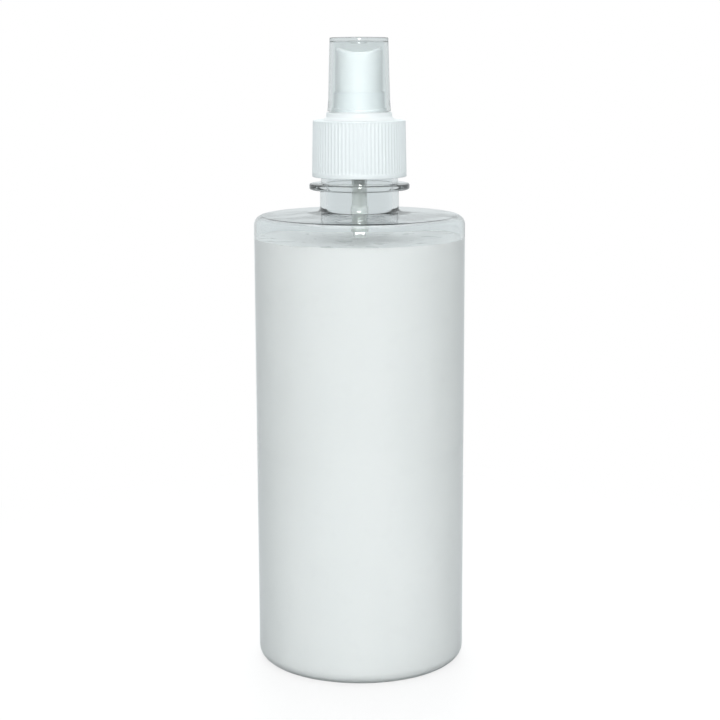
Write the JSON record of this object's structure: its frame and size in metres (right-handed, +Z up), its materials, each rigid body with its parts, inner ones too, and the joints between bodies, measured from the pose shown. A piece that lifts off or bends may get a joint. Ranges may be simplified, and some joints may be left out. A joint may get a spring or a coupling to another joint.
{
  "type": "spray bottle",
  "caption": "Clear cylinder bottle of white liquid with a screw-on finger mist pump under a clear overcap.",
  "frame": {"origin": "centre of the bottle's base, on the surface it stands on", "axes": "+Z up along the bottle's axis, +Y the way the nozzle sprays, +X to the right seen from behind the nozzle"},
  "size_m": [0.0686, 0.0686, 0.2053],
  "materials": {
    "clear_pet": "clear blown PET, glossy",
    "white_liquid": null,
    "white_closure": "white polypropylene, fine satin",
    "white_collar": "white polypropylene, semi-gloss",
    "milky_housing": "natural translucent polypropylene",
    "gasket": null,
    "dip_tube": "natural polyethylene tube",
    "inlet_ball": "polished stainless steel ball",
    "return_spring": "drawn stainless steel wire",
    "white_stem": "white acetal, smooth",
    "piston": "soft white polyethylene",
    "white_actuator": "white polypropylene, semi-gloss",
    "white_nozzle": "white acetal, smooth",
    "clear_overcap": "clear polypropylene, slightly hazy"
  },
  "bodies": {
    "bottle": {"bottle": "clear_pet", "liquid": "white_liquid"},
    "pump": {"pump_housing": "milky_housing", "pump_collar": "white_collar", "neck_gasket": "gasket", "dip_tube": "dip_tube", "return_spring": "return_spring"},
    "closure": {"screw_closure": "white_closure"},
    "stem": {"pump_stem": "white_stem", "stem_plug": "white_stem"},
    "actuator": {"actuator": "white_actuator", "nozzle_insert": "white_nozzle"},
    "piston": {"piston": "piston"},
    "inlet_ball": {"inlet_ball": "inlet_ball"},
    "overcap": {"overcap": "clear_overcap"}
  },
  "joints": [
    {"name": "pump_lift", "type": "slide", "parent": "bottle", "child": "pump", "axis": [0, 0, 1], "range_m": [0, 0.0064]},
    {"name": "closure_turn", "type": "hinge", "parent": "pump", "child": "closure", "pos_m": [0, 0, 0.17], "axis": [0, 0, 1], "range_deg": [0, 540]},
    {"name": "stem_press", "type": "slide", "parent": "pump", "child": "stem", "axis": [0, 0, -1], "range_m": [0, 0.0055], "stiffness_N_per_m": 1500, "deforming": ["return_spring"]},
    {"name": "actuator_turn", "type": "hinge", "parent": "stem", "child": "actuator", "pos_m": [0, 0, 0.195], "axis": [0, 0, 1], "continuous": true},
    {"name": "piston_stroke", "type": "slide", "parent": "pump", "child": "piston", "axis": [0, 0, -1], "range_m": [0, 0.005]},
    {"name": "ball_lift", "type": "slide", "parent": "pump", "child": "inlet_ball", "axis": [0, 0, 1], "range_m": [0, 0.0006]},
    {"name": "overcap_pull", "type": "slide", "parent": "pump", "child": "overcap", "axis": [0, 0, 1], "range_m": [0, 0.035]}
  ],
  "couplings": [
    {"joint": "pump_lift", "follows": "closure_turn", "m_per_rad": 0.00067376},
    {"joint": "piston_stroke", "follows": "stem_press", "ratio": 0.9}
  ]
}
